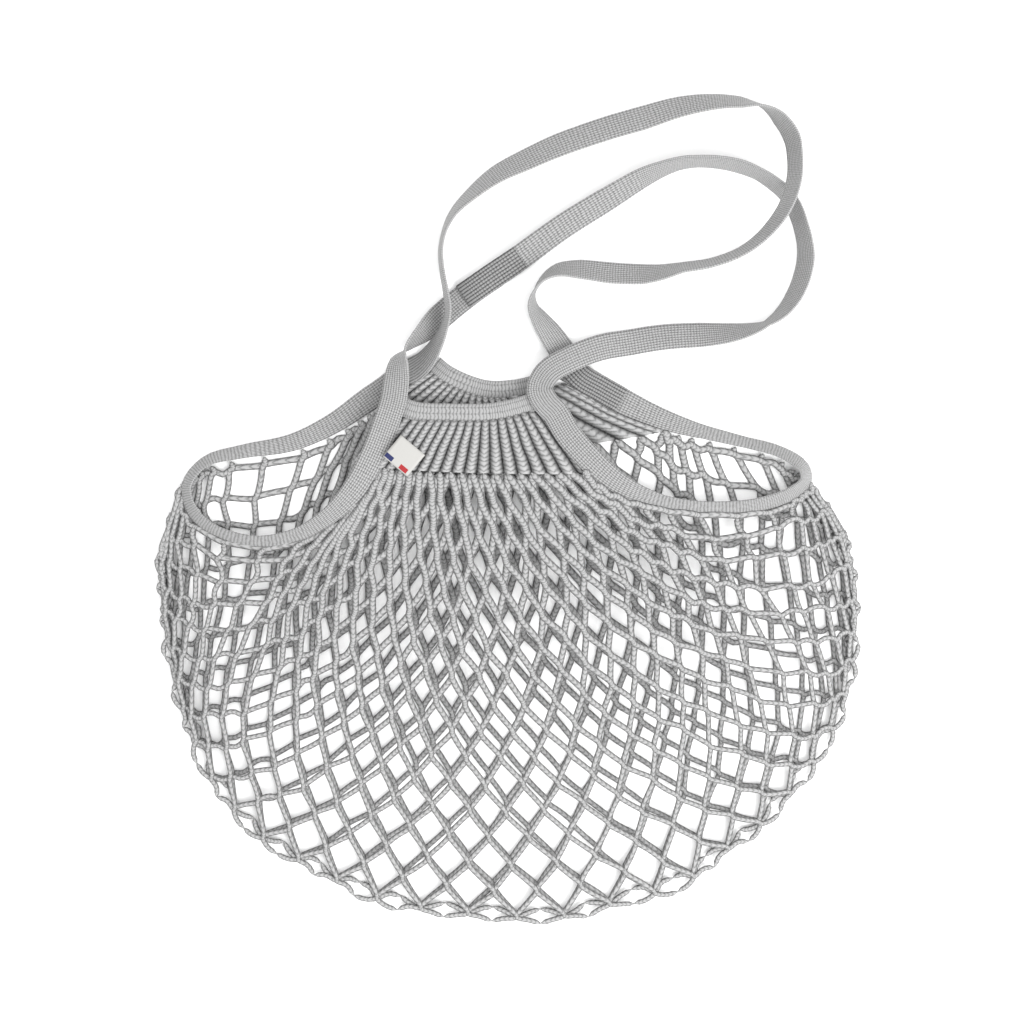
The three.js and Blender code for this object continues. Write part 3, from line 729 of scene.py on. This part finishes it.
def make_net(name, node, knots, ties, seed):
    """One side of the net: two families of strips through its knots. ties are the places on the
    tape from which a strip comes down to its first knot."""
    strands = []
    for lean in (-1, 1):
        starts = [key for key in knots if (key[0] - 1, key[1] - lean) not in knots]
        for row, column in sorted(starts):
            chain = []
            while (row, column) in knots:
                chain.append((row, column))
                row, column = row + 1, column + lean
            if len(chain) > 1:
                strands.append((lean, chain))

    def below(key):
        """How a knot is drawn out along its column: most where its strips run side by side."""
        row, column = key
        above = [knots[row - 1, column + side] for side in (-1, 1) if (row - 1, column + side) in knots]
        under = [knots[row + 1, column + side] for side in (-1, 1) if (row + 1, column + side) in knots]
        down = Vector((0, 0, 0))
        for spot in under:
            down += (spot - knots[key]) / len(under)
        for spot in above:
            down += (knots[key] - spot) / len(above)
        down.z = 0
        spread = (under[0] - under[-1]).length / STRIP if len(under) > 1 else 1
        return down.normalized() * mix(2.4, 0.7, min(spread / 1.2, 1))

    bm = bmesh.new()
    total = 0
    for lean, chain in strands:
        places, rows = [], []
        if chain[0] in ties and lean * chain[0][1] < 0:
            places.append(ties[chain[0]])
            rows.append(chain[0][0])
        for n, key in enumerate(chain):
            knot = knots[key]
            drawn = below(key)
            last = n == len(chain) - 1
            if places:
                places.append(knot - drawn * (0.2 if last and key[0] > ROWS else 1))
                rows.append(key[0])
            if not last:
                places.append(knot + drawn)
                rows.append(key[0])
                after = knots[chain[n + 1]]
                way = after - knot
                way.z = 0
                slack = math.sqrt(max(STRIP ** 2 - way.length ** 2, 0)) / 2
                bow = noise.noise(Vector((key[0] * 1.7, key[1] * 1.1, seed + lean)))
                sag = bow * 0.9
                if way.length < STRIP * 0.75:
                    sag += math.copysign(min(slack * 0.3, 1.4), bow)
                places.append((knot + after) / 2 + Vector((-way.y, way.x, 0)).normalized() * sag)
                rows.append(key[0] + 0.5)
        steps = BETWEEN * (len(places) - 1) // 2
        path = [through(places, (len(places) - 1) * n / steps) for n in range(steps + 1)]
        length = sum((path[n + 1] - path[n]).length for n in range(steps))
        total += length

        def place(i, j):
            here = path[i]
            ahead = path[min(i + 1, steps)] - path[max(i - 1, 0)]
            side = ahead.cross(UP).normalized()
            over = side.cross(ahead).normalized()
            # Turned so that the painted shade of the lines between rows falls on the strip's sides.
            turn = 2 * math.pi * j / SIDES - SHADE_SEAM_AT
            end = 0.25 if i in (0, steps) else 1
            row = rows[min(int((len(places) - 1) * i / steps), len(rows) - 1)]
            half = mix(TOP_HALF, LOW_HALF, min(row / LOW_ROW, 1)) * end
            deep = STRIP_HALF_THICK * end
            ring = side * half * math.cos(turn) + over * deep * math.sin(turn)
            return here + ring + UP * CROSSING * lean

        lay_grid(bm, steps, SIDES, place, (length * MM, 3 * NET_WALE))
    bmesh.ops.remove_doubles(bm, verts=bm.verts, dist=1e-7)
    piece = finish_piece(bm, name, net_cotton)
    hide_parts(node)
    return piece, total


def front_height(share, top_z):
    """Height of the front net: it stays up over the pouch and comes down near the fold."""
    return mix(rim_base, top_z, 1 - min(share, 1) ** 4) + NET_LIFT


def back_height(share, top_z):
    """Height of the back net: on the surface, and up by a strand's width at the fold."""
    return max(top_z * (1 - share * 8), 0) + NET_LIFT + 1.3 * max(share, 0) ** 12


# How far along the tape, from the yoke, each knot on a side opening lies. Only their shares count.
front_tape_knots = (0, 12, 26, 42, 60, 82, 110, 145, 180, 213, 230, 242, 251, 259, 265)
back_tape_knots = (0, 12, 27, 46, 72, 108, 152, 196, 234, 258, 272, 281, 288, 293, 298)
front_knots, front_ties = lay_knots(front_stitch, (front_left_edge, front_right_edge),
                                    front_tape_knots, 0.8, (HEM, 0.4), front_height, 1.7)
back_knots, back_ties = lay_knots(back_stitch, (back_left_edge, back_right_edge),
                                  back_tape_knots, 4.4, (HEM, HEM + 4.5), back_height, 6.3)
net_front, front_total = make_net("net_upper", "net_front", front_knots, front_ties, 3.1)
net_back, back_total = make_net("net_under", "net_back", back_knots, back_ties, 8.7)


# Care label. A small piece of white woven satin ribbon, caught at one side in the front tape's seam
# and loose at the other, with a plain blue and a plain red bar woven along one side.
LABEL_WIDTH = 16
LABEL_LENGTH = 18
LABEL_THICK = 0.8
LABEL_TURN = -20
LABEL_RISE = 0.6         # rows of the tape past the yoke's corner at which the label is held
LABEL_BED = 2.8          # the yoke's wall and ribs under the label
LABEL_STEPS = 12

# Woven satin ribbon: close smooth white, with half-millimetre slanting ribs that hardly show.
satin = bpy.data.materials.new("woven satin label")
satin.use_nodes = True
tree = satin.node_tree
shader = tree.nodes["Principled BSDF"]
uv = add_node(tree, "ShaderNodeUVMap", uv_map="UVMap")
split = add_node(tree, "ShaderNodeSeparateXYZ", {0: uv.outputs[0]})
weave = add_node(tree, "ShaderNodeTexWave", {"Vector": uv.outputs[0], "Scale": 640.0, "Distortion": 0.4},
                 bands_direction="DIAGONAL")
colour = add_node(tree, "ShaderNodeRGB")
colour.outputs[0].default_value = linear("#a6a5a2")
colour = colour.outputs[0]
# The bars' places on the ribbon, in metres from its corner.
for bar_colour, (u_low, u_high, v_low, v_high) in (
    ("#06154c", (0.0006, 0.0034, 0.0002, 0.0056)),
    ("#900812", (0.0006, 0.0034, 0.0108, 0.0162)),
):
    inside = 1.0
    for axis, operation, limit in (
        ("X", "GREATER_THAN", u_low), ("X", "LESS_THAN", u_high),
        ("Y", "GREATER_THAN", v_low), ("Y", "LESS_THAN", v_high),
    ):
        side = add_node(tree, "ShaderNodeMath", {0: split.outputs[axis], 1: limit}, operation=operation)
        inside = add_node(tree, "ShaderNodeMath", {0: inside, 1: side.outputs[0]},
                          operation="MULTIPLY").outputs[0]
    colour = add_node(tree, "ShaderNodeMix", {0: inside, 6: colour, 7: linear(bar_colour)},
                      data_type="RGBA").outputs[2]
bump = add_node(tree, "ShaderNodeBump",
                {"Height": weave.outputs["Fac"], "Strength": 0.4, "Distance": 0.0001})
tree.links.new(colour, shader.inputs["Base Color"])
tree.links.new(bump.outputs["Normal"], shader.inputs["Normal"])
shader.inputs["Roughness"].default_value = 0.6

label_row = left_rows["yoke_corner"] - LABEL_RISE
label_across = left_run.at(label_row)[1]
askew = math.radians(LABEL_TURN)
label_away = Vector((
    -label_across.x * math.cos(askew) + label_across.y * math.sin(askew),
    -label_across.x * math.sin(askew) - label_across.y * math.cos(askew),
    0,
))
label_along = Vector((-label_away.y, label_away.x, 0))
label_edge = left_run.beside(label_row, -1, CLEARANCE)
label_base = rim_base + POUCH_LOFT + LABEL_BED + CLEARANCE + LABEL_THICK / 2


def label_place(i, j):
    """The ribbon is arched a little across and droops towards its free end."""
    s, t = i / LABEL_STEPS, j / LABEL_STEPS
    point = label_edge + label_along * (s - 0.5) * LABEL_WIDTH + label_away * (t * LABEL_LENGTH)
    point.z = label_base + 0.5 * math.sin(math.pi * s) * t - 0.9 * t * t
    return point


ribbon = bmesh.new()
lay_grid(ribbon, LABEL_STEPS, LABEL_STEPS, label_place, (LABEL_WIDTH * MM, LABEL_LENGTH * MM))
label = finish_piece(ribbon, "care_label", satin)
thicken(label, LABEL_THICK * 0.7)
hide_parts("sewn_label")


# Floor: a plain matt white card under the bag, wide enough for every view. It gives back nearly
# all light, so the bag seems to lie on white with only its own soft contact shadow.
ground = bmesh.new()
bmesh.ops.create_grid(ground, x_segments=1, y_segments=1, size=4)
floor_mesh = bpy.data.meshes.new("floor")
ground.to_mesh(floor_mesh)
ground.free()
floor = bpy.data.objects.new("floor", floor_mesh)
scene.collection.objects.link(floor)
# Matt white card: no gloss at all, and just short of pure white.
card = bpy.data.materials.new("matt white card")
card.use_nodes = True
card.node_tree.nodes["Principled BSDF"].inputs["Base Color"].default_value = linear("#f7f7f7")
card.node_tree.nodes["Principled BSDF"].inputs["Roughness"].default_value = 0.95
floor_mesh.materials.append(card)


# Light and camera: soft light from all round with one broad lamp at the lower right, and a camera
# straight above.
world = bpy.data.worlds.new("soft white room")
scene.world = world
world.use_nodes = True
world.node_tree.nodes["Background"].inputs["Color"].default_value = linear("#ffffff")
world.node_tree.nodes["Background"].inputs["Strength"].default_value = 1.5

lamp_data = bpy.data.lights.new("key", "AREA")
lamp_data.shape = "SQUARE"
lamp_data.size = 0.9
lamp_data.energy = 24
lamp = bpy.data.objects.new("key", lamp_data)
scene.collection.objects.link(lamp)
lamp.location = (0.9, -0.8, 1.1)
lamp.rotation_euler = (-lamp.location).to_track_quat("-Z", "Y").to_euler()

PIXEL = 0.58 * MM        # one pixel of the picture, on the floor
VIEW = 1024 * PIXEL
camera_data = bpy.data.cameras.new("camera")
camera_data.lens = 85
camera_data.sensor_width = 36
camera = bpy.data.objects.new("camera", camera_data)
scene.collection.objects.link(camera)
camera.location = (3.5 * PIXEL, -2.5 * PIXEL, VIEW * camera_data.lens / camera_data.sensor_width)
camera.rotation_euler = (0, 0, 0)
scene.camera = camera

bpy.context.view_layer.update()
